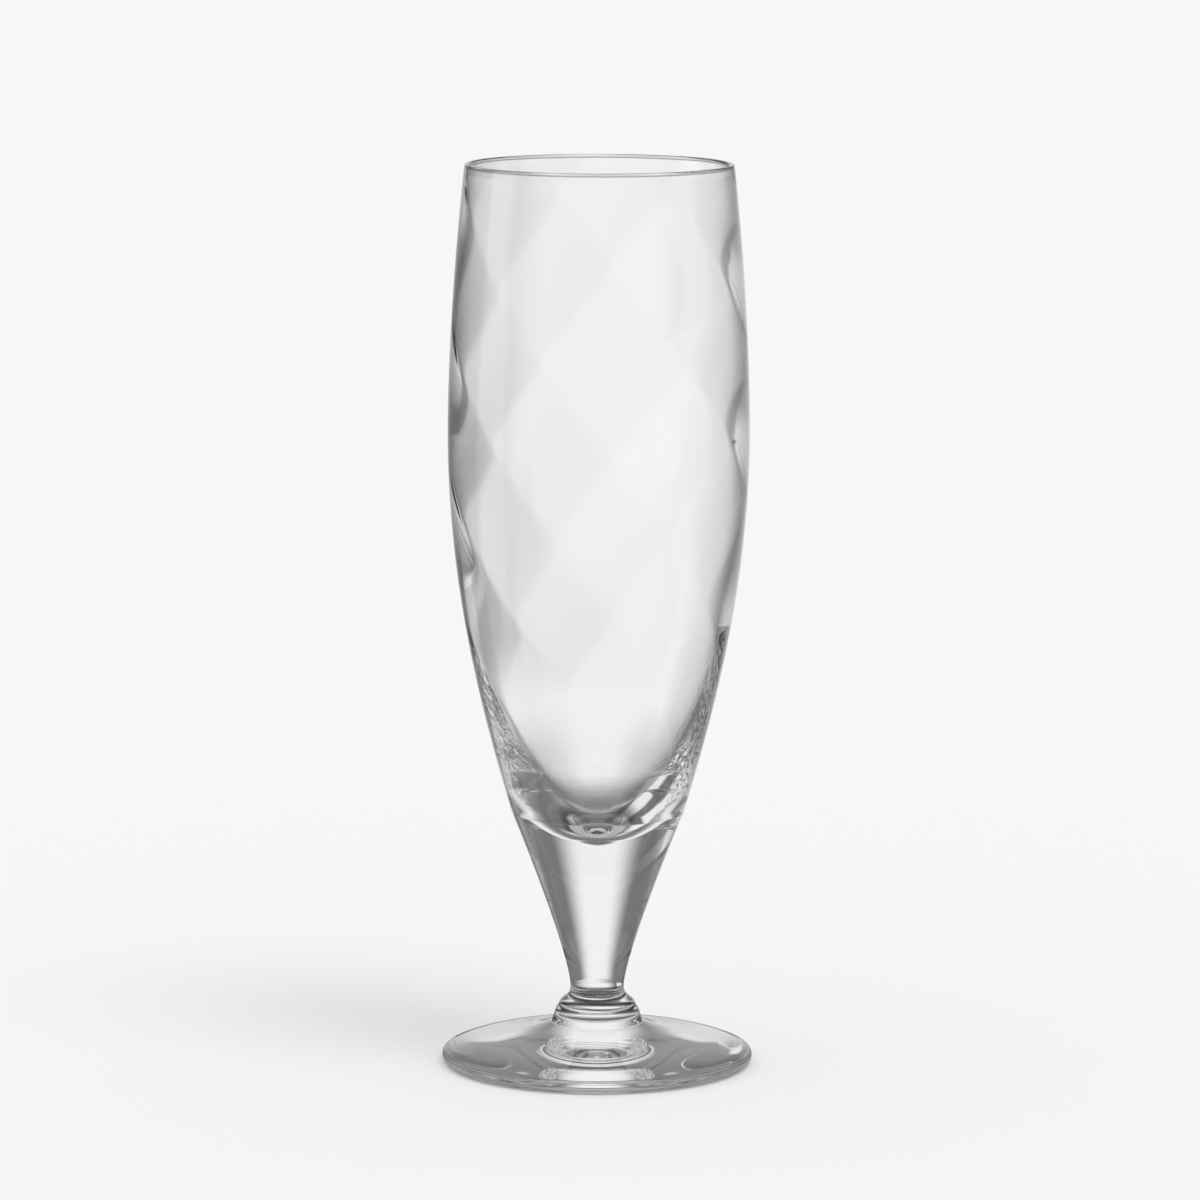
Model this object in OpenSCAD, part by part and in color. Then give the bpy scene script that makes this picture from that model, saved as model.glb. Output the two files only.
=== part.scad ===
// Footed pilsner glass with a twisted optic bowl, in millimetres.
// The origin is on the table under the middle of the foot, and +Z points up.
// Four pieces of clear glass are fused face to face: bowl, stem, knop and foot.

/* [Bowl] */
// Height of the lip above the table
glass_h = 230; // [210:1:250]
// Outside diameter at the lip
lip_d = 68; // [60:0.1:74]
// Outside diameter at the widest part of the bowl
belly_d = 76.4; // [70:0.1:86]
// Height of the widest part above the table
belly_h = 162; // [145:1:180]
// Outside diameter where the bowl meets the stem
seam_d = 44; // [36:0.1:48]
// Height of that joint above the table
seam_h = 65; // [55:0.5:75]
// How far the rounded base of the bowl reaches below the joint
base_drop = 8; // [4:0.5:12]
// Glass under the lowest point of the hollow
floor_t = 3.2; // [2:0.1:8]
// Wall along the grooves, where the thick heel ends
wall = 2; // [1:0.1:3]
// Wall along the grooves at the lip
lip_wall = 1.3; // [1:0.1:2.2]

/* [Optic ribs] */
// Number of rounded ribs round the inner wall, with a sharp groove between two of them
rib_count = 7; // [5:1:12]
// How far a rib stands in from the grooves beside it, where the thick heel ends
rib_rise = 0.55; // [0.3:0.05:2]
// Turn of the ribs from the floor of the hollow to the lip, in degrees
rib_turn = 208; // [0:4:300]

/* [Stem] */
// Diameter of the stem at its waist
waist_d = 13.6; // [10:0.1:17]
// Height of the waist, where the stem meets the knop
waist_h = 19.2; // [16:0.1:24]

/* [Knop] */
// Diameter of the knop at its lower edge
knop_d = 23.2; // [19:0.1:28]
// Diameter of the shoulder of the knop
shoulder_d = 19.8; // [17:0.1:22]
// Height of that shoulder above the foot
shoulder_rise = 4.8; // [3:0.1:6]

/* [Foot] */
// Diameter of the foot
foot_d = 79.4; // [70:0.2:90]
// Height of the foot where it meets the knop
foot_rise = 10.5; // [9:0.1:12]
// Height of the widest line of the edge of the foot
edge_h = 1.8; // [1.2:0.1:2.4]
// Height of the edge where the top of the foot runs into it
edge_top_h = 3.4; // [2.8:0.1:4.5]
// How far the edge rounds in from the full diameter, above and below
edge_round = 1.7; // [1:0.1:2.5]
// Width of the flat ring that the glass stands on
ring_w = 3.4; // [2:0.1:6]
// Depth of the shallow hollow under the foot
kick_depth = 1; // [0.5:0.1:2]

/* [Hidden] */

// Number of facets that stand for a full circle
round_sides = 96;
// Steps along each curve of the outlines
curve_steps = 12;
arc_steps = 6;
// Steps across one rib of the hollow
rib_steps = 10;
// Steps up the hollow: its rounded floor, then the even wall to the belly and to the lip
floor_steps = 14;
heel_steps = 5;
upper_steps = 8;
// How far a cut runs past the face that it opens
overrun = 1;
// Tint of the clear glass
glass_tint = [0.86, 0.89, 0.9];

// Half diameters
lip_r = lip_d / 2;
belly_r = belly_d / 2;
seam_r = seam_d / 2;
waist_r = waist_d / 2;
knop_r = knop_d / 2;
shoulder_r = shoulder_d / 2;
foot_r = foot_d / 2;

// Shares of the wall that the lip is rounded by, outside and inside
lip_round_share = 0.4;
lip_round = lip_wall * lip_round_share;

// Places of the handles of the bowl's two outer curves, as shares of height and of width
lip_handle_shares = [0.895, 0.51];
belly_up_share = 0.124;
belly_down_share = 0.4;
seam_handle_shares = [0.465, 0.263];

// Place on the lower outer curve where the thick heel ends and the even wall starts
heel_share = 0.55;
// Handles of the hollow's rounded floor, as shares of its width and height
floor_handle_share = 0.4;
heel_handle_shares = [0.21, 0.6];
// Share of the ribs' rise that is left at the lip
lip_rib_share = 0.5;
// Turn of the grooves at the lip, measured from +X
groove_start = -114;

// Handles of the stem's side, as shares of its width and height
stem_top_shares = [0.217, 0.175];
waist_share = 0.166;

// Handles of the knop's neck and skirt, as shares of their width and height
neck_handle_share = 0.32;
shoulder_up_shares = [0.3, 0.26];
shoulder_down_shares = [0.42, 0.3];
skirt_handle_shares = [0.34, 0.42];

// Handles of the foot's top, as shares of its width and height
foot_inner_shares = [0.32, 0.68];
foot_outer_shares = [0.34, 0.55];
// How far in the top of the foot runs into its edge, as a share of the edge's rounding
edge_in_share = 0.75;

// A point on the cubic curve with the four control points p
function curve_at(p, t) =
    p[0] * pow(1 - t, 3) + p[1] * 3 * t * pow(1 - t, 2) + p[2] * 3 * t * t * (1 - t) + p[3] * pow(t, 3);
// Points along that curve, from share a to share b of it, without the first
function curve(p, n, a = 0, b = 1) = [for (i = [1:n]) curve_at(p, a + (b - a) * i / n)];
// Points of a quarter of an ellipse about c with half axes w and h, between two angles, without the first
function bend(c, w, h, from, to, n) =
    [for (i = [1:n]) let (a = from + (to - from) * i / n) c + [w * cos(a), h * sin(a)]];
// A list without its first and last items
function inner(v) = [for (i = [1:len(v) - 2]) v[i]];

// The rounded base of the bowl is a cap of a ball that ends at the joint with the stem
ball_r = (seam_r * seam_r + base_drop * base_drop) / (2 * base_drop);
base_z = seam_h - base_drop;
ball_mid = [0, base_z + ball_r];
cap_angle = asin(seam_r / ball_r);
base_cap = concat([[0, base_z]], bend(ball_mid, ball_r, ball_r, -90, cap_angle - 90, arc_steps));

// Outer curves of the bowl: from the joint up to the belly, and from there up to the lip
lip_z = glass_h - lip_round;
lower_h = belly_h - seam_h;
upper_h = lip_z - belly_h;
lower_side = [
    [seam_r, seam_h],
    [seam_r + (belly_r - seam_r) * seam_handle_shares[0], seam_h + lower_h * seam_handle_shares[1]],
    [belly_r, belly_h - lower_h * belly_down_share],
    [belly_r, belly_h]
];
upper_side = [
    [belly_r, belly_h],
    [belly_r, belly_h + upper_h * belly_up_share],
    [lip_r + (belly_r - lip_r) * lip_handle_shares[0], lip_z - upper_h * lip_handle_shares[1]],
    [lip_r, lip_z]
];
bowl_outline = concat(
    base_cap,
    curve(lower_side, curve_steps),
    curve(upper_side, curve_steps),
    bend([lip_r - lip_round, lip_z], lip_round, lip_round, 0, 90, arc_steps),
    [[0, glass_h]]
);

// Outline of the hollow along its grooves: a rounded floor, then the even wall, then the lip
floor_z = base_z + floor_t;
heel_out = curve_at(lower_side, heel_share);
heel_r = heel_out[0] - wall;
heel_h = heel_out[1] - floor_z;
floor_side = [
    [0, floor_z],
    [heel_r * floor_handle_share, floor_z],
    [heel_r * (1 - heel_handle_shares[0]), heel_out[1] - heel_h * heel_handle_shares[1]],
    [heel_r, heel_out[1]]
];
// Share of the way from the heel to the lip at height z, and the wall there
function up_share(z) = (z - heel_out[1]) / (lip_z - heel_out[1]);
function wall_at(z) = wall + (lip_wall - wall) * up_share(z);
function inside(p) = [p[0] - wall_at(p[1]), p[1]];
wall_side = concat(
    curve(lower_side, heel_steps, heel_share, 1),
    curve(upper_side, upper_steps)
);
lip_flare = bend([lip_r - lip_wall + lip_round, lip_z], lip_round, lip_round, 180, 90, arc_steps);
hollow_side = concat(
    curve(floor_side, floor_steps),
    [for (p = wall_side) inside(p)],
    lip_flare,
    [[lip_r - lip_wall + lip_round, glass_h + overrun]]
);

// Rise of the ribs at a point of that outline: it fades towards the floor and towards the lip
function rise_at(p) =
    p[1] < heel_out[1]
    ? rib_rise * p[0] / heel_r
    : rib_rise * (1 - (1 - lip_rib_share) * min(1, up_share(p[1])));
// Turn of the grooves at height z
function turn_at(z) = groove_start + rib_turn * (glass_h - z) / (glass_h - floor_z);
// Share of that rise at a place s across a rib, from groove to groove
function rib_at(s) = sin(180 * s);

// Hollow of the bowl: rings of points that turn with height, with a sharp groove between two ribs
module hollow() {
    around = rib_count * rib_steps;
    rings = len(hollow_side);
    ring_points = [
        for (p = hollow_side)
            for (j = [0:around - 1])
                let (
                    a = turn_at(p[1]) + 360 * j / around,
                    r = p[0] - rise_at(p) * rib_at((j % rib_steps) / rib_steps)
                )
                [r * cos(a), r * sin(a), p[1]]
    ];
    floor_point = len(ring_points);
    top_point = floor_point + 1;
    sides = [
        for (k = [0:rings - 2])
            for (j = [0:around - 1])
                let (
                    a = k * around + j,
                    b = k * around + (j + 1) % around,
                    c = b + around,
                    d = a + around
                )
                each [[a, d, c], [a, c, b]]
    ];
    floor_fan = [for (j = [0:around - 1]) [floor_point, j, (j + 1) % around]];
    last_ring = (rings - 1) * around;
    top_fan = [for (j = [0:around - 1]) [top_point, last_ring + (j + 1) % around, last_ring + j]];
    polyhedron(
        points = concat(ring_points, [[0, 0, floor_z], [0, 0, glass_h + overrun]]),
        faces = concat(sides, floor_fan, top_fan)
    );
}

// Side of the stem, from the joint with the bowl down to the waist
stem_h = seam_h - waist_h;
stem_side = [
    [seam_r, seam_h],
    [seam_r - (seam_r - waist_r) * stem_top_shares[0], seam_h - stem_h * stem_top_shares[1]],
    [waist_r, waist_h + stem_h * waist_share],
    [waist_r, waist_h]
];
stem_outline = concat(base_cap, curve(stem_side, curve_steps), [[0, waist_h]]);

// Neck and skirt of the knop, from the waist of the stem down to the top of the foot
shoulder_z = foot_rise + shoulder_rise;
neck_w = shoulder_r - waist_r;
neck_h = waist_h - shoulder_z;
skirt_w = knop_r - shoulder_r;
neck_side = [
    [waist_r, waist_h],
    [waist_r, waist_h - neck_h * neck_handle_share],
    [shoulder_r - neck_w * shoulder_up_shares[0], shoulder_z + neck_h * shoulder_up_shares[1]],
    [shoulder_r, shoulder_z]
];
skirt_side = [
    [shoulder_r, shoulder_z],
    [shoulder_r + skirt_w * shoulder_down_shares[0], shoulder_z - shoulder_rise * shoulder_down_shares[1]],
    [knop_r - skirt_w * skirt_handle_shares[0], foot_rise + shoulder_rise * skirt_handle_shares[1]],
    [knop_r, foot_rise]
];
knop_outline = concat(
    [[0, waist_h], [waist_r, waist_h]],
    curve(neck_side, curve_steps),
    curve(skirt_side, curve_steps),
    [[0, foot_rise]]
);

// Top, edge and underside of the foot
edge_in_r = foot_r - edge_round * edge_in_share;
top_w = edge_in_r - knop_r;
top_h = foot_rise - edge_top_h;
foot_top = [
    [knop_r, foot_rise],
    [knop_r + top_w * foot_inner_shares[0], foot_rise - top_h * foot_inner_shares[1]],
    [edge_in_r - top_w * foot_outer_shares[0], edge_top_h + top_h * foot_outer_shares[1]],
    [edge_in_r, edge_top_h]
];
// Rounding of the edge above its widest line, and below it down to the standing ring
edge_mid = [foot_r - edge_round, edge_h];
edge_start = acos(1 - edge_in_share);
upper_edge_h = (edge_top_h - edge_h) / sin(edge_start);
// The shallow hollow below is a cap of a ball inside the standing ring
kick_r = foot_r - edge_round - ring_w;
kick_ball_r = (kick_r * kick_r + kick_depth * kick_depth) / (2 * kick_depth);
kick_angle = asin(kick_r / kick_ball_r);
kick_mid = [0, kick_depth - kick_ball_r];
foot_outline = concat(
    [[0, foot_rise], [knop_r, foot_rise]],
    curve(foot_top, curve_steps),
    bend(edge_mid, edge_round, upper_edge_h, edge_start, 0, arc_steps),
    bend(edge_mid, edge_round, edge_h, 0, -90, arc_steps),
    [[kick_r, 0]],
    inner(bend(kick_mid, kick_ball_r, kick_ball_r, 90 - kick_angle, 90, arc_steps)),
    [[0, kick_depth]]
);

// Blown bowl: its outer form is turned, and the ribbed hollow is taken out of it
module bowl() {
    color(glass_tint)
        difference() {
            rotate_extrude($fn = round_sides) polygon(bowl_outline);
            hollow();
        }
}

// Solid stem, cupped at the top to take the base of the bowl
module stem() {
    color(glass_tint) rotate_extrude($fn = round_sides) polygon(stem_outline);
}

// Bell-shaped knop between the stem and the foot
module knop() {
    color(glass_tint) rotate_extrude($fn = round_sides) polygon(knop_outline);
}

// Domed foot with a rounded edge, a flat standing ring and a shallow hollow below
module foot() {
    color(glass_tint) rotate_extrude($fn = round_sides) polygon(foot_outline);
}

bowl();
stem();
knop();
foot();
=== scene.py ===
# %% [markdown]
# # A footed pilsner glass
# This lesson dresses the imported solids of a footed pilsner glass in Blender. The real glass is made hot, out
# of four gathers of clear glass: a tall blown bowl with a twisted optic on its inner wall, a solid stem, a
# small bell-shaped knop and a domed foot. The imported solids are a fixed frame, so every piece made here takes
# its place and its main sizes from them. Loading them comes first.

# %% Load the frame
import math

import bpy
import numpy as np
from mathutils import Matrix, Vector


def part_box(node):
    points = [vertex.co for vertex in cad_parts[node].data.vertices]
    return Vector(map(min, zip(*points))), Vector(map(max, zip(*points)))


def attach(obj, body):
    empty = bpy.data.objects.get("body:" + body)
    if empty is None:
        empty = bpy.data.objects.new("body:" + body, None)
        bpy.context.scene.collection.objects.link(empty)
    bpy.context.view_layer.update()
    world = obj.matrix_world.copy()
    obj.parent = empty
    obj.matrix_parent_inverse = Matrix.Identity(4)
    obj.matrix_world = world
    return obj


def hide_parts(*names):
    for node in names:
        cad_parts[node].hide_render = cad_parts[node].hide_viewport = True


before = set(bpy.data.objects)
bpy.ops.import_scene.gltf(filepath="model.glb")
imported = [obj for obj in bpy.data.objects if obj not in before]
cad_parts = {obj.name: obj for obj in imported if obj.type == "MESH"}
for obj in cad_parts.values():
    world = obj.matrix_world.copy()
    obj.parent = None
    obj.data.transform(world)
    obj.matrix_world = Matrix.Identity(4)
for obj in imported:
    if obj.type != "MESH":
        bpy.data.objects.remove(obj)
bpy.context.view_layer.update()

scene = bpy.context.scene
print("nodes:", sorted(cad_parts))

# %% [markdown]
# ## Light through clear glass
# A ray that crosses the bowl meets four surfaces or more, and in the thick heel it is thrown to and fro many
# times before it gets out. Blender ends a ray after a few bounces and shows black there, which looks like
# soot in the glass. Fewer bounces with a grey tint could hide that, but a high limit is true to real glass
# and costs little, because the scene is small. Light that the glass gathers on the floor is kept. Light that
# it mirrors there is faint and noisy, so it is left out.

# %% Bounces
LIGHT_BOUNCES = 40
SHADOW_CROSSINGS = 64

scene.view_settings.view_transform = "Standard"
scene.cycles.max_bounces = LIGHT_BOUNCES
scene.cycles.glossy_bounces = LIGHT_BOUNCES
scene.cycles.transmission_bounces = LIGHT_BOUNCES
scene.cycles.transparent_max_bounces = SHADOW_CROSSINGS
scene.cycles.caustics_refractive = True
scene.cycles.caustics_reflective = False
print("bounces:", scene.cycles.max_bounces)

# %% [markdown]
# ## The camera
# The photograph looks a little down on the glass, from a fair distance and through a long lens. The ellipses
# of the lip and of the foot are seen at two unlike elevations, and these give the height and the distance of
# the camera. It could be aimed by a Track To constraint. A tilt and a roll are written instead, because both
# were measured.

# %% Camera
MM = 0.001
CAMERA_DISTANCE = 1513 * MM
CAMERA_HEIGHT = 343 * MM
CAMERA_ASIDE = 0.43 * MM
CAMERA_TILT = math.radians(8.412)
CAMERA_ROLL = math.radians(0.17)
FOCAL_PX = 6029
PHOTO_PX = 1200
SENSOR_MM = 36

camera_data = bpy.data.cameras.new("camera")
camera_data.sensor_width = SENSOR_MM
camera_data.lens = FOCAL_PX / PHOTO_PX * SENSOR_MM
camera = bpy.data.objects.new("camera", camera_data)
camera.location = (CAMERA_ASIDE, -CAMERA_DISTANCE, CAMERA_HEIGHT)
lean = Matrix.Rotation(math.pi / 2 - CAMERA_TILT, 3, "X") @ Matrix.Rotation(CAMERA_ROLL, 3, "Z")
camera.rotation_euler = lean.to_euler()
scene.collection.objects.link(camera)
scene.camera = camera
print("lens:", round(camera_data.lens, 1), "mm")

# %% [markdown]
# ## Profiles
# Each gather of the glass is turned at the bench, so its form is a profile that is carried round the axis.
# Blender's Screw modifier could do that, but the ribs in the bowl have to change from angle to angle. So a
# profile is an array of radius and height, made as a chain of cubic curves and bends, and the turning is a
# formula on whole arrays.

# %% Curves and bends
def side(start, stop, leave, arrive):
    """Control points of a cubic curve from start to stop. The handles lie at start plus the way to stop times
    leave, and at start plus that way times arrive, each as a share across and a share up."""
    start = np.asarray(start, float)
    way = np.asarray(stop, float) - start
    return np.stack([start, start + way * leave, start + way * arrive, np.asarray(stop, float)])


def curve(controls, steps, start=0.0, stop=1.0):
    """Points of a cubic curve: the sum of each control point times its Bernstein weight, for even values of
    the share t between start and stop."""
    t = np.linspace(start, stop, steps + 1)[:, None]
    first, leave, arrive, last = controls
    return first * (1 - t) ** 3 + leave * 3 * t * (1 - t) ** 2 + arrive * 3 * t * t * (1 - t) + last * t ** 3


def bend(middle, half_w, half_h, start, stop, steps):
    """Points of an elliptic bend: the middle plus the half axes times the cosine and the sine of an angle,
    in even steps."""
    angle = np.radians(np.linspace(start, stop, steps + 1))
    return np.asarray(middle) + np.stack([half_w * np.cos(angle), half_h * np.sin(angle)], axis=1)


print("a quarter bend ends at", bend((0, 0), 1, 1, 0, 90, 2)[-1].round(3).tolist())

# %% Flat faces, chains and turning
FLAT_STEPS = 4


def disc(radius, height):
    """Straight run across a flat face, from the axis out to the rim, in even steps of radius."""
    r = np.linspace(0, radius, FLAT_STEPS + 1)
    return np.stack([r, np.full_like(r, height)], axis=1)


def chain(*runs):
    """One profile out of runs that each start where the one before ends."""
    return np.concatenate([runs[0]] + [run[1:] for run in runs[1:]])


def turned(profile, columns, turn=0.0, shift=0.0):
    """Grid of a turned surface: the radius times the cosine and the sine of the column's angle, and the
    height. turn adds one angle for all rows, or one for each row. shift adds to the angle of each column."""
    angle = np.arange(columns) * (2 * math.pi / columns) + shift + np.reshape(turn, (-1, 1))
    r = profile[:, :1]
    z = np.broadcast_to(profile[:, 1:], (len(profile), columns))
    return np.stack([r * np.cos(angle), r * np.sin(angle), z], axis=2)


print("a turned disc has a grid of", turned(disc(1, 0), 8).shape)

# %% [markdown]
# ## From a grid to a mesh
# A grid that starts and ends on the axis closes into one skin, as solid glass has. The rows become rings of
# squares, and the two ends become fans of triangles round a single point, so that neither a seam nor a pole
# stays open. Merging doubles could close them later. Joining them in the numbering is exact and leaves
# nothing to merge.

# %% Rings and fans
def closed_faces(rows, columns):
    """Faces of a grid whose first and last rows are single points, and the row of each face. Squares join a
    point, the next one and the two above them. Fans join a pole to two neighbours."""
    ring = np.arange(columns)
    after = np.roll(ring, -1)
    low = 1 + np.arange(rows - 3)[:, None] * columns
    squares = np.stack([low + ring, low + after, low + columns + after, low + columns + ring], axis=2)
    last_ring = 1 + (rows - 3) * columns
    first_fan = np.stack([np.zeros_like(ring), 1 + after, 1 + ring], axis=1)
    last_pole = np.full_like(ring, last_ring + columns)
    last_fan = np.stack([last_pole, last_ring + ring, last_ring + after], axis=1)
    faces = squares.reshape(-1, 4).tolist() + first_fan.tolist() + last_fan.tolist()
    square_rows = np.repeat(np.arange(1, rows - 2), columns)
    fan_rows = np.repeat([0, rows - 2], columns)
    return faces, np.concatenate([square_rows, fan_rows])


def poles_joined(grid):
    """The values of a grid in one list, with the first and the last row cut down to one value each."""
    return np.concatenate([grid[:1, 0], grid[1:-1].reshape(-1, *grid.shape[2:]), grid[-1:, 0]])


print("faces of a small grid:", len(closed_faces(5, 8)[0]))

# %% A skin of glass
SHARP_ANGLE = math.radians(40)


def skin(name, grid, joint_rows, **marks_at):
    """Piece with the closed mesh of a grid. Rows of faces that are listed in joint_rows lie against the next
    piece and take the material of the joints. Each mark is an attribute with a value for each point."""
    faces, face_rows = closed_faces(*grid.shape[:2])
    mesh = bpy.data.meshes.new(name)
    mesh.from_pydata(poles_joined(grid).tolist(), [], faces)
    for mark, strength in marks_at.items():
        strength = poles_joined(np.broadcast_to(strength, grid.shape[:2])).astype(np.float32)
        mesh.attributes.new(mark, "FLOAT", "POINT").data.foreach_set("value", strength)
    mesh.materials.append(clear_glass)
    mesh.materials.append(fused_joint)
    mesh.polygons.foreach_set("material_index", np.isin(face_rows, joint_rows).astype(np.int32))
    mesh.polygons.foreach_set("use_smooth", np.ones(len(faces), bool))
    mesh.update()
    mesh.set_sharp_from_angle(angle=SHARP_ANGLE)
    piece = bpy.data.objects.new(name, mesh)
    scene.collection.objects.link(piece)
    print(name, "faces:", len(faces))
    return piece


print("edges over", round(math.degrees(SHARP_ANGLE)), "degrees stay sharp")

# %% [markdown]
# ## Sizes out of the frame
# Where two pieces meet they share a width and a height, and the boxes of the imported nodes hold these. They
# could be typed in again, but then a changed frame would no longer fit, so they are read.

# %% Shared sizes
def reach(node):
    """Largest radius, lowest and highest height of a node: half the width of its box, and its two ends."""
    low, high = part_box(node)
    return (high.x - low.x) / 2, low.z, high.z


belly_r, base_z, glass_h = reach("bowl")
seam_r, waist_h, seam_h = reach("stem")
knop_r, foot_rise, _ = reach("knop")
foot_r = reach("foot")[0]
print("radii in mm:", [round(r / MM, 2) for r in (belly_r, seam_r, knop_r, foot_r)])

# %% [markdown]
# ## Small helpers for nodes
# The glass, the floor and the sky all need numbers that change smoothly over a place or an angle. A node tree
# could be wired by hand for each of them. A few helpers that each add one node and hand back its output read
# like plain sums, and the trees stay easy to follow.

# %% Sums
def maths(tree, operation, *values):
    """Output of a math node of that operation on numbers or sockets."""
    node = tree.nodes.new("ShaderNodeMath")
    node.operation = operation
    for socket, value in zip(node.inputs, values):
        if isinstance(value, (int, float)):
            socket.default_value = value
        else:
            tree.links.new(value, socket)
    return node.outputs[0]


def mixed(tree, share, first, second):
    """The first where the share is 0, the second where it is 1: first plus share times their difference."""
    return maths(tree, "ADD", first, maths(tree, "MULTIPLY", share, maths(tree, "SUBTRACT", second, first)))


def largest(tree, first, *others):
    """The largest of some values."""
    for other in others:
        first = maths(tree, "MAXIMUM", first, other)
    return first


print("sums:", [helper.__name__ for helper in (maths, mixed, largest)])

# %% Smooth changes
RISE = (0.0, 1.0)
MIX_COLOURS = (6, 7)
MIX_RESULT = 2


def blend_range(tree, value, span, ends):
    """Smooth step from the first of the ends to the second, while the value goes through the span."""
    node = tree.nodes.new("ShaderNodeMapRange")
    node.interpolation_type = "SMOOTHSTEP"
    tree.links.new(value, node.inputs["Value"])
    for socket, number in zip(("From Min", "From Max", "To Min", "To Max"), (*span, *ends)):
        node.inputs[socket].default_value = number
    return node.outputs["Result"]


def fade(tree, angle, span, ends):
    """Smooth step over an angle, with the span in degrees."""
    return blend_range(tree, angle, np.radians(span).tolist(), ends)


def window(tree, angle, middle, span):
    """One near the middle angle, and zero at more than the span's second angle away from it, in degrees."""
    away = maths(tree, "ABSOLUTE", maths(tree, "SUBTRACT", angle, math.radians(middle)))
    return fade(tree, away, span, RISE[::-1])


def colour_mix(tree, share, first, second):
    """Colour between two colours, each given as four numbers or as a socket. A Mix node lists the sockets of
    every data type, so those of the colours are found by their places."""
    node = tree.nodes.new("ShaderNodeMix")
    node.data_type = "RGBA"
    tree.links.new(share, node.inputs[0])
    for place, colour in zip(MIX_COLOURS, (first, second)):
        socket = node.inputs[place]
        if isinstance(colour, tuple):
            socket.default_value = colour
        else:
            tree.links.new(colour, socket)
    return node.outputs[MIX_RESULT]


print("a window goes from", RISE[1], "to", RISE[0])

# %% [markdown]
# ## Marks in the glass
# Blown glass is never quite even. A slow ripple runs over all of it, and where the thick heel of the bowl was
# chilled its inner skin has fine wrinkles. The larger folds are real geometry, further on. The finest marks
# are a height for a Bump node. They could stand in the material itself, but as a node group they are built
# once and another glass can use them too. The attribute chilled says how strong the wrinkles are at each
# point of the bowl, and pieces without it get none.

# %% Marks
WRINKLES_PER_METRE = 420
WRINKLE_DETAIL = 1
WRINKLE_TWIST = 1.2
RIPPLES_PER_METRE = 50
RIPPLE_SHARE = 0.3

marks_in_glass = bpy.data.node_groups.new("marks_in_glass", "ShaderNodeTree")
marks_in_glass.interface.new_socket("Height", in_out="OUTPUT", socket_type="NodeSocketFloat")


def marks(scale, detail=0, twist=0):
    """Noise of that scale on the place in the piece, with so much detail and twist."""
    place = marks_in_glass.nodes.new("ShaderNodeTexCoord").outputs["Object"]
    noise = marks_in_glass.nodes.new("ShaderNodeTexNoise")
    for socket, number in (("Scale", scale), ("Detail", detail), ("Distortion", twist)):
        noise.inputs[socket].default_value = number
    marks_in_glass.links.new(place, noise.inputs["Vector"])
    return noise.outputs[0]


chilled_at = marks_in_glass.nodes.new("ShaderNodeAttribute")
chilled_at.attribute_name = "chilled"
wrinkle_noise = marks(WRINKLES_PER_METRE, WRINKLE_DETAIL, WRINKLE_TWIST)
wrinkles = maths(marks_in_glass, "MULTIPLY", wrinkle_noise, chilled_at.outputs["Fac"])
ripples = maths(marks_in_glass, "MULTIPLY", marks(RIPPLES_PER_METRE), RIPPLE_SHARE)
marks_out = marks_in_glass.nodes.new("NodeGroupOutput")
marks_in_glass.links.new(maths(marks_in_glass, "ADD", wrinkles, ripples), marks_out.inputs["Height"])
print("nodes in the marks:", len(marks_in_glass.nodes))

# %% [markdown]
# ## Clear glass
# The glass is colourless and bends light with an index of 1.52. A bare Glass BSDF would do, but the
# Principled shader also takes the shadow into account: a glass throws a pale shadow, so light on its way from
# a lamp meets only a fifth of the surface. Where the wall is seen along its surface, a grey tint is painted
# shade: it draws the dark outline that clear glass shows on a pale ground, where it bends and mirrors the
# dark of its surroundings. An attribute says how strong this painted shade is, because the foot is seen at a
# low angle all over and needs less. Where a surface bends within a fraction of a millimetre, as at the lip,
# clear glass shows a thin dark line. Too few rays find such a bend, so a second attribute paints it as dark
# glass colour: painted shade, as are the other dark lines and greys that this attribute carries.

# %% Transparent shader
GLASS_IOR = 1.52
SHADOW_SHARE = 0.2


def transparent(name, ior, shadow_share):
    """Material with full transmission, no roughness and that index. Its alpha is one, and shadow_share for
    light on its way from a lamp."""
    material = bpy.data.materials.new(name)
    material.use_nodes = True
    tree = material.node_tree
    shader = tree.nodes["Principled BSDF"]
    shader.inputs["Roughness"].default_value = 0
    shader.inputs["IOR"].default_value = ior
    shader.inputs["Transmission Weight"].default_value = 1
    path = tree.nodes.new("ShaderNodeLightPath")
    cover = blend_range(tree, path.outputs["Is Shadow Ray"], RISE, (1.0, shadow_share))
    tree.links.new(cover, shader.inputs["Alpha"])
    return material, tree, shader


print("light is bent by", GLASS_IOR)

# %% Glass
CLEAR = (0.992, 0.993, 0.993, 1)
EDGE_SHADE_GREY = (0.12, 0.122, 0.122, 1)
PAINTED_LINE_GREY = (0.1, 0.102, 0.102, 1)
EDGE_SPAN = (0.5, 0.98)
FACING_BLEND = 0.5
MARK_DEPTH = 0.05 * MM


def attribute(tree, name):
    """Output with the value of an attribute at each point of a piece, which is zero where it has none."""
    node = tree.nodes.new("ShaderNodeAttribute")
    node.attribute_name = name
    return node.outputs["Fac"]


clear_glass, tree, shader = transparent("clear_glass", GLASS_IOR, SHADOW_SHARE)
weight = tree.nodes.new("ShaderNodeLayerWeight")
weight.inputs["Blend"].default_value = FACING_BLEND
# Painted shade: the glass turns grey where its surface turns away from the view, for the dark outline.
turned_away = blend_range(tree, weight.outputs["Facing"], EDGE_SPAN, RISE)
painted_edge_shade = maths(tree, "MULTIPLY", turned_away, attribute(tree, "tinted"))
tinted_glass = colour_mix(tree, painted_edge_shade, CLEAR, EDGE_SHADE_GREY)
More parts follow.
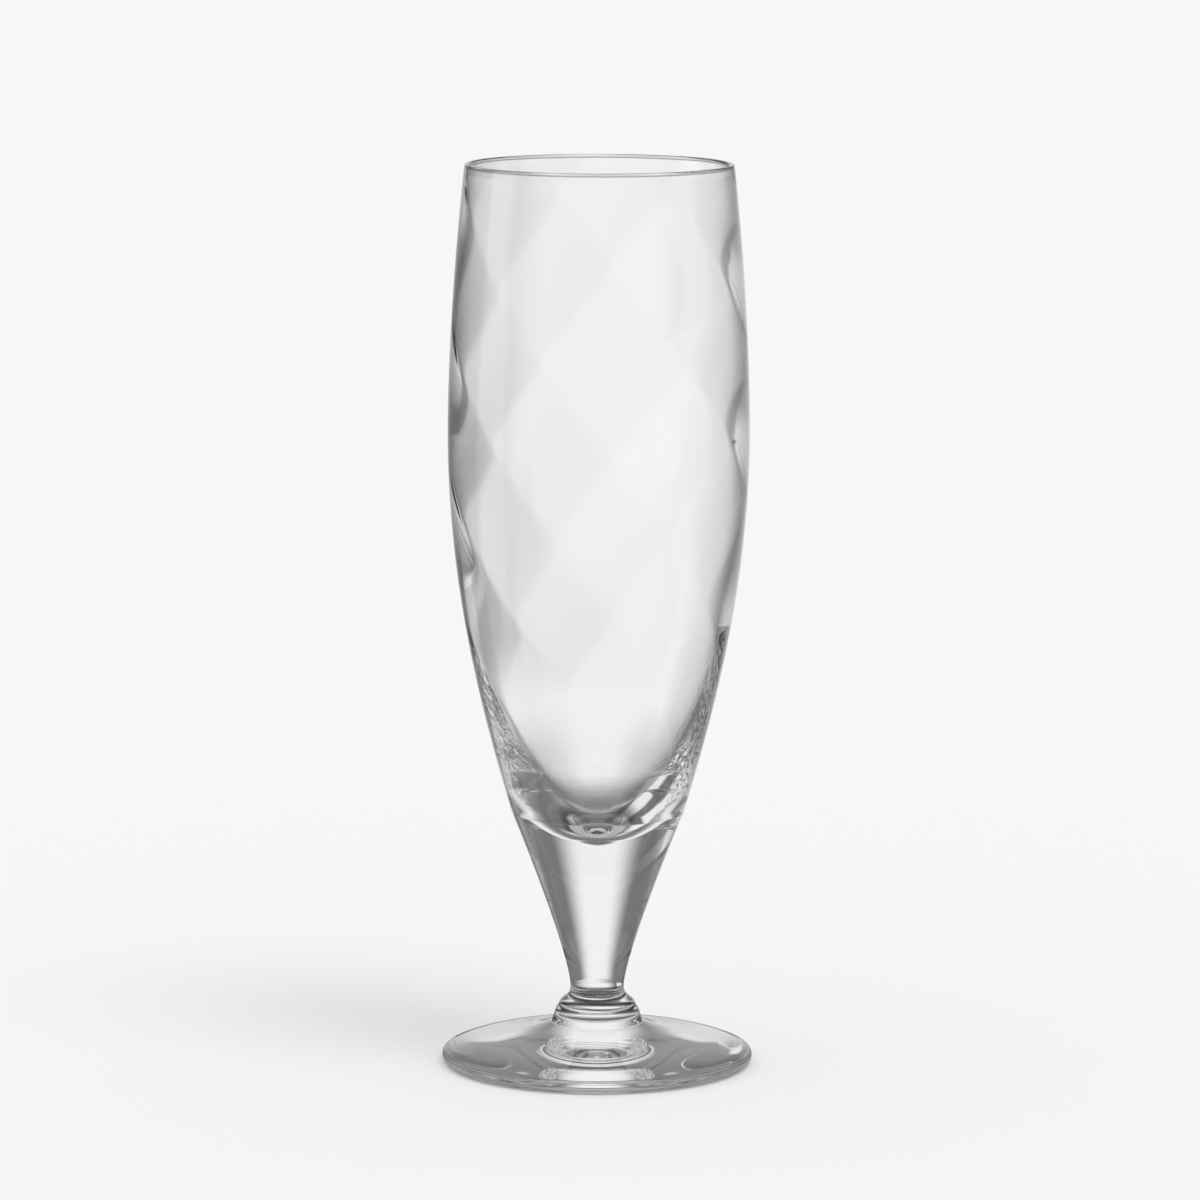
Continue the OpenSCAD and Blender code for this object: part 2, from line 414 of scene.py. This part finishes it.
# Painted shade: dark lines and greys in the glass colour, as strong as the second attribute says.
tree.links.new(colour_mix(tree, attribute(tree, "lined"), tinted_glass, PAINTED_LINE_GREY), shader.inputs["Base Color"])
height = tree.nodes.new("ShaderNodeGroup")
height.node_tree = marks_in_glass
bump = tree.nodes.new("ShaderNodeBump")
bump.inputs["Strength"].default_value = 1
bump.inputs["Distance"].default_value = MARK_DEPTH
tree.links.new(height.outputs["Height"], bump.inputs["Height"])
tree.links.new(bump.outputs["Normal"], shader.inputs["Normal"])
print("nodes of the glass:", len(tree.nodes))

# %% [markdown]
# ## Fused joints
# Where two hot gathers were pressed together, glass meets glass, and light goes straight on. Two clear faces
# that touch would each bend it and show a mirror inside the stem. Joining the meshes would remove them, but
# the pieces have to stay separate. So the faces of a joint have an index of 1, which does nothing to light,
# and each is drawn back by a hundredth of a millimetre, so that no two faces lie in the same place.

# %% Joints
JOINT_GAP = 0.01 * MM
CLEAR_AS_AIR = 1.0
NO_TINT = (1, 1, 1, 1)

fused_joint, _, joint_shader = transparent("fused_joint", CLEAR_AS_AIR, shadow_share=0.0)
joint_shader.inputs["Base Color"].default_value = NO_TINT
up_a_gap = np.array([0, JOINT_GAP])
print("gap in a joint:", JOINT_GAP / MM, "mm")

# %% [markdown]
# ## The bowl, outside
# The bowl is blown into a smooth mould. It rises from a rounded base, which sits in the cup of the stem,
# swells to the belly and closes a little towards a fire-polished lip. It could be modelled by hand with a
# Subdivision Surface. Two cubic curves that meet upright at the belly follow the outline of the photograph
# more closely.

# %% Outer profile
LIP_R = 34 * MM
BELLY_H = 162 * MM
LIP_WALL = 1.3 * MM
LIP_ROUND = 0.48 * LIP_WALL
LOWER_HANDLES = ((0.465, 0.263), (1, 0.6))
UPPER_HANDLES = ((0, 0.124), (0.105, 0.49))
NEAR_LIP = 0.98
BASE_STEPS = 14
LOWER_STEPS = 40
UPPER_STEPS = 26
LIP_STEPS = 12
ROUND_STEPS = 8

lip_z = glass_h - LIP_ROUND
base_drop = seam_h - base_z
ball_r = (seam_r ** 2 + base_drop ** 2) / (2 * base_drop)
cap_angle = math.degrees(math.asin(seam_r / ball_r))
base_cap = bend((0, base_z + ball_r), ball_r, ball_r, -90, cap_angle - 90, BASE_STEPS)
base_cap[0, 0] = 0
lower_side = side((seam_r, seam_h), (belly_r, BELLY_H), *LOWER_HANDLES)
upper_side = side((belly_r, BELLY_H), (LIP_R, lip_z), *UPPER_HANDLES)
upper_run = chain(curve(upper_side, UPPER_STEPS, 0, NEAR_LIP), curve(upper_side, LIP_STEPS, NEAR_LIP, 1))
outer_round = bend((LIP_R - LIP_ROUND, lip_z), LIP_ROUND, LIP_ROUND, 0, 90, ROUND_STEPS)
outside = chain(base_cap + up_a_gap, curve(lower_side, LOWER_STEPS), upper_run, outer_round)
print("rows outside:", len(outside))

# %% [markdown]
# ## The bowl, hollow
# The wall is thin at the lip and a little thicker downwards, until the thick heel begins. There the hollow
# leaves the outer form and closes in a deep, rounded floor with a small dimple in its middle, where the glass
# sank as it cooled. A Solidify modifier gives one even wall, so the inner profile is worked out from the
# outer one instead.

# %% Inner profile
WALL = 2.0 * MM
FLOOR_T = 3.2 * MM
HEEL_SHARE = 0.55
FLOOR_HANDLES = ((0.4, 0), (0.79, 0.4))
HEEL_STEPS = 116
WALL_STEPS = 22

floor_z = base_z + FLOOR_T
heel_out_r, heel_z = curve(lower_side, 1, HEEL_SHARE, HEEL_SHARE)[0]
heel_r = heel_out_r - WALL
floor_side = side((0, floor_z), (heel_r, heel_z), *FLOOR_HANDLES)
wall_run = chain(curve(lower_side, WALL_STEPS, HEEL_SHARE, 1), upper_run)
up_wall = (wall_run[:, 1] - heel_z) / (lip_z - heel_z)
wall_run[:, 0] -= WALL + (LIP_WALL - WALL) * up_wall
inner_round = bend((LIP_R - LIP_WALL + LIP_ROUND, lip_z), LIP_ROUND, LIP_ROUND, 180, 90, ROUND_STEPS)
inside = chain(curve(floor_side, HEEL_STEPS), wall_run, inner_round)
print("rows inside:", len(inside))

# %% Dimple in the floor
DIMPLE_DEPTH = 0.35 * MM
DIMPLE_R = 2.2 * MM
DIMPLE_RIM = 0.12 * MM
DIMPLE_RIM_R = 4 * MM
DIMPLE_RIM_W = 1 * MM


def dimple(r):
    """Rise of the floor at a radius: a bell-shaped rim round a bell-shaped pit."""
    pit = DIMPLE_DEPTH * np.exp(-(r / DIMPLE_R) ** 2)
    return DIMPLE_RIM * np.exp(-((r - DIMPLE_RIM_R) / DIMPLE_RIM_W) ** 2) - pit


inside[:, 1] += np.where(inside[:, 1] < seam_h, dimple(inside[:, 0]), 0)
inside = inside[::-1]
print("floor in the dimple at", round(inside[-1, 1] / MM, 2), "mm")

# %% [markdown]
# ## The twisted optic
# The gather is first blown into a ribbed mould and then twisted, which leaves rounded ribs on the inner wall
# with a narrow groove between two of them. They turn by 208 degrees on the way down. On the real bowl they
# are a little uneven in place and in height. An array of bent ribs could be joined to the wall. Here the ribs
# are a change of radius along each ring of the hollow, and the rings themselves are turned, so that each edge
# runs along a groove.

# %% Ribs round a ring
RIB_COUNT = 7
RIB_COLUMNS = 48
GROOVE_ROUND = 0.1
RIB_SHARES = [1, 1.2, 1, 1, 0.7, 0.4, 0.8]
GROOVE_SHIFTS = np.radians([1, -1, -3, 8, 3, -2, -6, 1])

columns = RIB_COUNT * RIB_COLUMNS
across = np.arange(columns) % RIB_COLUMNS / RIB_COLUMNS
lift = np.sqrt(np.sin(math.pi * across) ** 2 + GROOVE_ROUND ** 2) - GROOVE_ROUND
lift *= np.repeat(RIB_SHARES, RIB_COLUMNS) / lift.max()
groove_shift = np.interp(np.arange(columns) / RIB_COLUMNS, np.arange(RIB_COUNT + 1), GROOVE_SHIFTS)
print("columns:", columns)

# %% Ribs up the wall
RIB_RISE = 0.5 * MM
LIP_RIB_SHARE = 0.75
HEEL_RIB_SHARE = 0.8
RIB_FADE = 2.5
RIB_TURN = math.radians(208)
GROOVE_START = math.radians(-114)

up_share = np.interp(inside[:, 1], [heel_z, BELLY_H, lip_z], [HEEL_RIB_SHARE, 1, LIP_RIB_SHARE])
down_share = HEEL_RIB_SHARE * (inside[:, 0] / heel_r) ** RIB_FADE
rise = RIB_RISE * np.where(inside[:, 1] < heel_z, down_share, up_share)
turn = GROOVE_START + RIB_TURN * (glass_h - inside[:, 1]) / (glass_h - floor_z)
outer_grid = turned(outside, columns, GROOVE_START)
inner_grid = turned(inside, columns, turn, groove_shift)
print("ribs rise at the lip by", round(rise[ROUND_STEPS] / MM, 3), "mm")

# %% [markdown]
# ## Folds in the chilled heel
# At the two sides of the heel the inner skin has folds like those of a crumpled sheet. They catch light and
# dark in small streaks, so they are geometry. A Displace modifier with a texture could make them. A sum of
# plane waves in random directions needs no texture, and it is the same each time. The folds lie where the
# wall, seen from the front, throws light back like a mirror, a little in front of the widest place, so the
# middle stays clear.

# %% Folds
FOLD_DEPTH = 0.22 * MM
FOLD_LENGTH = 3.2 * MM
FOLD_WAVES = 10
FOLD_SEED = 7
FOLD_LEVEL = 3
FOLD_HEIGHTS = np.array([68, 76, 98, 110]) * MM
FOLD_STRENGTHS = [0, 1, 1, 0]
FOLD_AT = math.radians(84)
FOLD_HALF_W = math.radians(20)
FOLD_SOFT = math.radians(6)


def folds(points):
    """Folds between 0 and 1: one less the size of a sum of plane waves of one length in random directions,
    which leaves sharp folds between smooth dents."""
    draw = np.random.default_rng(FOLD_SEED)
    waves = draw.normal(size=(FOLD_WAVES, 3))
    waves *= 2 * math.pi / FOLD_LENGTH / np.linalg.norm(waves, axis=1)[:, None]
    phase = draw.uniform(0, 2 * math.pi, FOLD_WAVES)
    return 1 - np.minimum(1, np.abs(np.sin(points @ waves.T + phase).sum(axis=2)) / FOLD_LEVEL)


ring_r = inside[:, :1]
from_front = np.arctan2(np.abs(inner_grid[:, :, 0]), -inner_grid[:, :, 1])
at_side = np.clip((FOLD_HALF_W - np.abs(from_front - FOLD_AT)) / FOLD_SOFT, 0, 1)
chilled = at_side * np.interp(inside[:, 1:], FOLD_HEIGHTS, FOLD_STRENGTHS)
print("share of the hollow with folds:", round(float((chilled > 0).mean()), 3))

# %% [markdown]
# ## Painted lines at the lip and painted shade in the heel
# The fire-polished lip shows as two thin dark lines with a light one between them, and the deep floor of the
# hollow is a little grey at its sides. Both are painted shade in the colour of the glass. They could be painted
# on an image. A bell over the height of each row needs no image, and it follows the piece when its sizes
# change.

# %% Painted lines and shade
LIP_LINE_DROP = 0.2 * MM
LIP_LINES = np.array([lip_z - LIP_LINE_DROP, glass_h])
LIP_LINE_W = 0.12 * MM
LIP_LINE_LEVEL = 0.95
HEEL_SHADE = 0.35
HEEL_HEIGHTS = np.array([63, 66, 76, 88]) * MM
HEEL_STRENGTHS = [0, 1, 1, 0]
HEEL_SIDE_STARTS = 0.3
HEEL_SIDE_W = 0.3


def lip_line(profile):
    """Strength of the painted dark lines round the lip for each row: the larger of two bells over the height.
    """
    bells = np.exp(-((profile[:, 1:] - LIP_LINES) / LIP_LINE_W) ** 2)
    return LIP_LINE_LEVEL * bells.max(axis=1, keepdims=True)


# Painted shade: grey towards the sides of the floor of the hollow.
to_the_side = np.abs(inner_grid[:, :, 0]) / np.maximum(ring_r, MM)
heel_side = np.clip((to_the_side - HEEL_SIDE_STARTS) / HEEL_SIDE_W, 0, 1)
heel_shade = HEEL_SHADE * heel_side * np.interp(inside[:, 1:], HEEL_HEIGHTS, HEEL_STRENGTHS)
# Painted shade: the dark lines at the lip, in the colour of the glass.
outer_lined = np.broadcast_to(lip_line(outside), outer_grid.shape[:2])
lined = np.concatenate([outer_lined, lip_line(inside) + heel_shade])
print("strongest line:", round(float(lined.max()), 2))

# %% [markdown]
# ## The bowl as one skin
# The ribs and the folds change the radius of each point of the hollow. The outer grid then runs up to the lip
# and the inner one from the lip down to the floor, so together they are one closed skin.

# %% Bowl
ribbed_r = ring_r - rise[:, None] * lift + FOLD_DEPTH * chilled * folds(inner_grid)
ribbed_share = np.divide(ribbed_r, ring_r, out=np.ones_like(ribbed_r), where=ring_r > 0)
inner_grid[:, :, :2] *= ribbed_share[:, :, None]
bowl_grid = np.concatenate([outer_grid, inner_grid])
chilled = np.concatenate([np.zeros(outer_grid.shape[:2]), chilled])
bowl = skin("glass_bowl", bowl_grid, np.arange(BASE_STEPS), tinted=1, chilled=chilled, lined=lined)

# %% [markdown]
# ## The stem
# The stem is a solid gather that was drawn out while soft. Its cupped top takes the rounded base of the bowl,
# and it tapers to the waist in one soft sweep. A cone with a bevel would be too straight, so it is one cubic
# curve that leaves the bowl along its side and arrives upright at the waist. The cup uses the same points as
# the bowl's base.

# %% Stem
WAIST_R = 6.8 * MM
STEM_HANDLES = ((0.217, 0.175), (1, 0.834))
STEM_STEPS = 80
TURN_COLUMNS = 192

stem_side = side((seam_r, seam_h), (WAIST_R, waist_h), *STEM_HANDLES)
stem_run = curve(stem_side, STEM_STEPS)[::-1]
stem_profile = chain(disc(WAIST_R, waist_h + JOINT_GAP), stem_run, base_cap[::-1] - up_a_gap)
cup_rows = np.arange(FLAT_STEPS + STEM_STEPS, len(stem_profile) - 1)
stem_joints = np.concatenate([np.arange(FLAT_STEPS), cup_rows])
stem = skin("glass_stem", turned(stem_profile, TURN_COLUMNS), stem_joints, tinted=1)

# %% [markdown]
# ## The knop
# The knop is a small bell of glass between the waist and the foot. It flares from the waist to a shoulder and
# on to a skirt, and the tool that shaped it left faint rings. Rings in a bump would not bend the light of the
# edges, so they are a wave on the radius of the profile, which fades at both ends. Dark lines between them
# are painted shade in the colour of the glass, for the dark bands that the rings show. They swing up and down
# a little, as the rings of a piece turned by hand do.

# %% Rings on the knop
RING_DEPTH = 0.15 * MM
RING_PITCH = 2.9 * MM
RING_LEAN = 1.5


def ringed(run):
    """A profile with rings: the radius less the depth times one less the cosine of the height, counted in
    rings, times a sine that is zero at both ends of the knop."""
    height = run[:, 1] - foot_rise
    wave = 1 - np.cos(2 * math.pi * height / RING_PITCH)
    up_knop = np.clip(height / (waist_h - foot_rise), 0, 1)
    ends = np.sin(math.pi * up_knop ** RING_LEAN)
    return np.stack([run[:, 0] - RING_DEPTH * wave * ends, run[:, 1]], axis=1)


print("rings on the knop:", round((waist_h - foot_rise) / RING_PITCH, 1))

# %% Painted lines on the knop
KNOP_LINES = foot_rise + np.array([4.6, 6, 7.4]) * MM
KNOP_LINE_W = 0.3 * MM
KNOP_LINE_LEVEL = 0.8
KNOP_SWING = 0.5 * MM
KNOP_SWINGS = 2


def knop_lines(grid):
    """Strength of the painted dark lines round the knop: the largest of some bells over the height, each
    of which swings up and down with the sine of the angle round the axis times the number of swings."""
    swing = KNOP_SWING * np.sin(KNOP_SWINGS * np.arctan2(grid[:, :, 1], grid[:, :, 0]))
    away = grid[:, :, 2:] - swing[:, :, None] - KNOP_LINES
    return KNOP_LINE_LEVEL * np.exp(-(away / KNOP_LINE_W) ** 2).max(axis=2)


print("lines on the knop:", len(KNOP_LINES))

# %% Knop
SHOULDER_R = 9.9 * MM
SHOULDER_RISE = 4.8 * MM
NECK_HANDLES = ((0, 0.32), (0.7, 0.74))
SKIRT_HANDLES = ((0.42, 0.3), (0.66, 0.58))
KNOP_STEPS = 24

shoulder = (SHOULDER_R, foot_rise + SHOULDER_RISE)
neck_side = side((WAIST_R, waist_h), shoulder, *NECK_HANDLES)
skirt_side = side(shoulder, (knop_r, foot_rise), *SKIRT_HANDLES)
knop_run = ringed(chain(curve(skirt_side, KNOP_STEPS)[::-1], curve(neck_side, KNOP_STEPS)[::-1]))
knop_top = disc(WAIST_R, waist_h - JOINT_GAP)[::-1]
knop_profile = chain(disc(knop_r, foot_rise + JOINT_GAP), knop_run, knop_top)
top_rows = np.arange(FLAT_STEPS + 2 * KNOP_STEPS, len(knop_profile) - 1)
knop_joints = np.concatenate([np.arange(FLAT_STEPS), top_rows])
knop_grid = turned(knop_profile, TURN_COLUMNS)
# Painted shade: dark lines round the knop, in the colour of the glass.
knop = skin("glass_knop", knop_grid, knop_joints, tinted=1, lined=knop_lines(knop_grid))

# %% [markdown]
# ## The foot
# The foot is a disc of glass, pressed and spun while soft. Its top falls from the knop in a hollow sweep to a
# low rounded edge, and below, a flat ring stands on the table round a shallow hollow. A squashed ball would
# miss the sweep, so the whole outline is one chain: the hollow below, the ring, the edge in two bends and the
# sweep on top. The edge has the full painted grey outline, and a painted dark line where it meets the table:
# both are painted shade in the colour of the glass.

# %% Underside and edge of the foot
EDGE_H = 1.8 * MM
EDGE_TOP_H = 3.4 * MM
EDGE_ROUND = 1.7 * MM
EDGE_IN_SHARE = 0.75
RING_W = 3.4 * MM
KICK_DEPTH = 1 * MM
KICK_STEPS = 24
EDGE_STEPS = 12

ring_out_r = foot_r - EDGE_ROUND
kick_r = ring_out_r - RING_W
kick_ball_r = (kick_r ** 2 + KICK_DEPTH ** 2) / (2 * KICK_DEPTH)
kick_angle = math.degrees(math.asin(kick_r / kick_ball_r))
kick = bend((0, KICK_DEPTH - kick_ball_r), kick_ball_r, kick_ball_r, 90, 90 - kick_angle, KICK_STEPS)
kick[0, 0] = 0
standing_ring = np.array([[kick_r, 0], [ring_out_r, 0]])
edge_turn = math.degrees(math.acos(1 - EDGE_IN_SHARE))
upper_edge_h = (EDGE_TOP_H - EDGE_H) / math.sin(math.radians(edge_turn))
lower_edge = bend((ring_out_r, EDGE_H), EDGE_ROUND, EDGE_H, -90, 0, EDGE_STEPS)
upper_edge = bend((ring_out_r, EDGE_H), EDGE_ROUND, upper_edge_h, 0, edge_turn, EDGE_STEPS)
print("the edge bends over by", round(edge_turn, 1), "degrees")

# %% Foot
FOOT_HANDLES = ((0.32, 0.68), (0.66, 0.45))
FOOT_STEPS = 60
FLAT_EDGE_SHADE = 0.163
EDGE_SHADE_W = 0.5 * MM
FOOT_LINE_LEVEL = 0.9
FOOT_LINE_W = 0.5 * MM

edge_in = (foot_r - EDGE_ROUND * EDGE_IN_SHARE, EDGE_TOP_H)
foot_top = side((knop_r, foot_rise), edge_in, *FOOT_HANDLES)
foot_run = curve(foot_top, FOOT_STEPS)[::-1]
landing = disc(knop_r, foot_rise - JOINT_GAP)[::-1]
foot_profile = chain(kick, standing_ring, lower_edge, upper_edge, foot_run, landing)
landing_rows = np.arange(len(foot_profile) - 1 - FLAT_STEPS, len(foot_profile) - 1)
# Painted shade: the grey outline is full at the edge and weaker on the flat, with a dark line at the table.
at_edge = np.clip((foot_profile[:, :1] - ring_out_r) / EDGE_SHADE_W + 1, 0, 1)
foot_edge_shade = FLAT_EDGE_SHADE + (1 - FLAT_EDGE_SHADE) * at_edge
painted_foot_line = FOOT_LINE_LEVEL * at_edge * np.exp(-(foot_profile[:, 1:] / FOOT_LINE_W) ** 2)
foot = skin("glass_foot", turned(foot_profile, TURN_COLUMNS), landing_rows, tinted=foot_edge_shade, lined=painted_foot_line)

# %% [markdown]
# ## The pieces ride on the frame
# Nothing on a glass moves, so all four pieces ride on one body. Each of them takes the place of an imported
# node, which is hidden.

# %% Ride and replace
for piece, node in ((bowl, "bowl"), (stem, "stem"), (knop, "knop"), (foot, "foot")):
    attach(piece, "root")
    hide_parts(node)
    print(piece.name, "replaces", node)

# %% [markdown]
# ## A studio of light and dark
# Clear glass has no colour of its own. What makes it visible is what it mirrors and bends: pale ground behind
# it, and dark areas to the sides, which draw its outline. Dark boards could stand round the glass, but they
# would throw shade on the floor and stand in the way of other views. So the floor and the sky are plain and
# pale to the camera and to scattered light, and show a pattern of light and dark only to rays that come by
# way of the glass.

# %% What the glass sees
PALE = (0.926, 0.919, 0.911, 1)
SEEN_PALE = 0.922
FLOOR_DARK = 0.16
SKY_DARK = 0.185


def by_way_of_glass(tree):
    """One for a ray that was bent or mirrored and never scattered, and zero for all others."""
    path = tree.nodes.new("ShaderNodeLightPath")
    bent = largest(tree, path.outputs["Is Glossy Ray"], path.outputs["Is Transmission Ray"])
    scattered = maths(tree, "MINIMUM", path.outputs["Diffuse Depth"], 1.0)
    return maths(tree, "MULTIPLY", bent, maths(tree, "SUBTRACT", 1.0, scattered))


def between_dark_and_light(tree, lit, dark):
    """The dark level where lit is 0, and one where it is 1."""
    return maths(tree, "ADD", dark, maths(tree, "MULTIPLY", lit, 1.0 - dark))


def studio_colour(tree, level):
    """The pale tone, or a grey of that level for rays that come by way of the glass."""
    return colour_mix(tree, by_way_of_glass(tree), PALE, maths(tree, "MULTIPLY", level, SEEN_PALE))


print("dark areas of floor and sky:", FLOOR_DARK, SKY_DARK)

# %% [markdown]
# ## The floor
# The glass stands on a pale, dull surface that runs out of sight. The part behind the glass is seen through
# it and is light, more widely so far off than near. A narrow opening lies to the left, a window to the side,
# and the floor in front is light again, which the back wall of the bowl mirrors. The ground round the foot is
# painted darker, as shade where a foot stands, and light again under all but the back of the foot. Dark and
# light cards could lie on the floor. Painted areas need no object: each is a smooth step over the angle or the
# distance.

# %% Place on the floor
floor_material = bpy.data.materials.new("pale_floor")
floor_material.use_nodes = True
tree = floor_material.node_tree
tree.nodes.clear()
floor_coordinate = tree.nodes.new("ShaderNodeTexCoord")
floor_place = tree.nodes.new("ShaderNodeSeparateXYZ")
tree.links.new(floor_coordinate.outputs["Object"], floor_place.inputs[0])
floor_x = floor_place.outputs[0]
floor_y = floor_place.outputs[1]
x_squared = maths(tree, "MULTIPLY", floor_x, floor_x)
y_squared = maths(tree, "MULTIPLY", floor_y, floor_y)
distance = maths(tree, "SQRT", maths(tree, "ADD", x_squared, y_squared))
bearing = maths(tree, "ARCTAN2", floor_x, floor_y)
bearing_size = maths(tree, "ABSOLUTE", bearing)
print("bearings are counted from straight behind the glass, to the right")

# %% Light areas of the floor
NEAR_LEFT = (-34, -10)
FAR_LEFT = (-34, 7)
RIGHT = (4, 50)
FAR = (0.28, 0.48)
OPENING_AT = -45
OPENING_W = (7, 13)
OPENING_REACH = (0.5, 0.75)
OPENING_LEVEL = 0.9
SIDE_AT = -90
SIDE_FLOOR_W = (10, 18)
FRONT_FLOOR = (95, 120)

far = blend_range(tree, distance, FAR, RISE)
left_limit = mixed(tree, far, fade(tree, bearing, NEAR_LEFT, RISE), fade(tree, bearing, FAR_LEFT, RISE))
behind_floor = maths(tree, "MINIMUM", left_limit, fade(tree, bearing, RIGHT, RISE[::-1]))
opening_reach = blend_range(tree, distance, OPENING_REACH, (OPENING_LEVEL, 0.0))
opening = maths(tree, "MULTIPLY", window(tree, bearing, OPENING_AT, OPENING_W), opening_reach)
side_floor = window(tree, bearing, SIDE_AT, SIDE_FLOOR_W)
front_floor = fade(tree, bearing_size, FRONT_FLOOR, RISE)
floor_lit = largest(tree, behind_floor, opening, side_floor, front_floor)
print("nodes for the light areas:", len(tree.nodes))

# %% Ground under and round the foot
GROUND = (0.04, 0.14)
GROUND_LEVEL = 0.17
UNDER_FOOT = (0.03, 0.075)
UNDER_FOOT_TURN = (25, 60)
UNDER_FOOT_LEVEL = 0.9

# Painted shade round the foot, seen only by way of the glass.
ground = blend_range(tree, distance, GROUND, (GROUND_LEVEL, 1.0))
open_floor = maths(tree, "MULTIPLY", ground, between_dark_and_light(tree, floor_lit, FLOOR_DARK))
under_reach = blend_range(tree, distance, UNDER_FOOT, RISE[::-1])
under_turn = fade(tree, bearing_size, UNDER_FOOT_TURN, (0.0, UNDER_FOOT_LEVEL))
under_foot = maths(tree, "MULTIPLY", under_reach, under_turn)
floor_level = largest(tree, open_floor, under_foot)
diffuse = tree.nodes.new("ShaderNodeBsdfDiffuse")
tree.links.new(studio_colour(tree, floor_level), diffuse.inputs["Color"])
floor_out = tree.nodes.new("ShaderNodeOutputMaterial")
tree.links.new(diffuse.outputs[0], floor_out.inputs["Surface"])
print("nodes of the floor:", len(tree.nodes))

# %% Floor
FLOOR_HALF = 20.0
FLOOR_DROP = 0.2 * MM

floor_mesh = bpy.data.meshes.new("floor")
floor_corners = np.array([[-1, -1, 0], [1, -1, 0], [1, 1, 0], [-1, 1, 0]]) * FLOOR_HALF
floor_mesh.from_pydata(floor_corners.tolist(), [], [(0, 1, 2, 3)])
floor_mesh.materials.append(floor_material)
floor = bpy.data.objects.new("floor", floor_mesh)
floor.location.z = -FLOOR_DROP
scene.collection.objects.link(floor)
print("floor:", 2 * FLOOR_HALF, "m wide")

# %% [markdown]
# ## The sky
# Over the floor hangs a soft studio light. An image of a studio could give it, but a plain sky with a few
# smooth areas is easier to follow. Straight behind the glass it is light from the floor up, low in front too,
# and at one side a tall, narrow window stands. Overhead the light falls off to both sides. The camera sees a
# plain pale sky, so that the floor has no hard end, and scattered light gets a little less than that.

# %% Direction in the sky
world = bpy.data.worlds.new("studio")
scene.world = world
world.use_nodes = True
tree = world.node_tree
tree.nodes.clear()
sky_coordinate = tree.nodes.new("ShaderNodeTexCoord")
sky_way = tree.nodes.new("ShaderNodeSeparateXYZ")
tree.links.new(sky_coordinate.outputs["Generated"], sky_way.inputs[0])
sky_turn = maths(tree, "ARCTAN2", sky_way.outputs[0], sky_way.outputs[1])
sky_turn_size = maths(tree, "ABSOLUTE", sky_turn)
sky_up = sky_way.outputs[2]
print("nodes for the direction:", len(tree.nodes))

# %% Light areas of the sky
BEHIND = (8, 29)
FRONT_SKY = (112, 140)
FRONT_SKY_UP = (0.05, 0.35)
SIDE_SKY_W = (8, 16)
SIDE_SKY_UP = (0.3, 0.4)
OVERHEAD = (0.36, 0.6)
OVERHEAD_TURN = (14, 75)
OVERHEAD_SIDE_LEVEL = 0.25

behind_sky = fade(tree, sky_turn_size, BEHIND, RISE[::-1])
front_low = blend_range(tree, sky_up, FRONT_SKY_UP, RISE[::-1])
front_sky = maths(tree, "MULTIPLY", front_low, fade(tree, sky_turn_size, FRONT_SKY, RISE))
side_low = blend_range(tree, sky_up, SIDE_SKY_UP, RISE[::-1])
side_sky = maths(tree, "MULTIPLY", side_low, window(tree, sky_turn, SIDE_AT, SIDE_SKY_W))
low_sky = largest(tree, behind_sky, front_sky, side_sky)
high_sky = fade(tree, sky_turn_size, OVERHEAD_TURN, (1.0, OVERHEAD_SIDE_LEVEL))
sky_lit = mixed(tree, blend_range(tree, sky_up, OVERHEAD, RISE), low_sky, high_sky)
print("nodes for the light areas:", len(tree.nodes))

# %% Sky
SCATTERED_LEVEL = 0.8

background = tree.nodes.new("ShaderNodeBackground")
sky_level = between_dark_and_light(tree, sky_lit, SKY_DARK)
tree.links.new(studio_colour(tree, sky_level), background.inputs["Color"])
camera_sees = tree.nodes.new("ShaderNodeLightPath").outputs["Is Camera Ray"]
at_full = largest(tree, camera_sees, by_way_of_glass(tree))
tree.links.new(mixed(tree, at_full, SCATTERED_LEVEL, 1.0), background.inputs["Strength"])
sky_out = tree.nodes.new("ShaderNodeOutputWorld")
tree.links.new(background.outputs[0], sky_out.inputs["Surface"])
print("nodes of the sky:", len(tree.nodes))

# %% [markdown]
# ## The key light
# One broad light from the upper right front lays a pale shadow to the left behind the glass. A point light
# would need a place and a falloff. A sun lamp needs only a direction, and its wide angle gives the shadow its
# soft edge. The glass doesn't mirror it, because a bare round lamp in the bowl would look like a fault.

# %% Key light
KEY_STRENGTH = 1.0
KEY_WIDTH = math.radians(25)
KEY_LEAN = math.radians(20)
KEY_SWING = math.radians(22)

key_data = bpy.data.lights.new("key", "SUN")
key_data.energy = KEY_STRENGTH
key_data.angle = KEY_WIDTH
key = bpy.data.objects.new("key", key_data)
key.rotation_euler = (KEY_LEAN, KEY_SWING, 0)
key.visible_glossy = False
key.visible_transmission = False
scene.collection.objects.link(key)
print("key light:", key_data.energy)
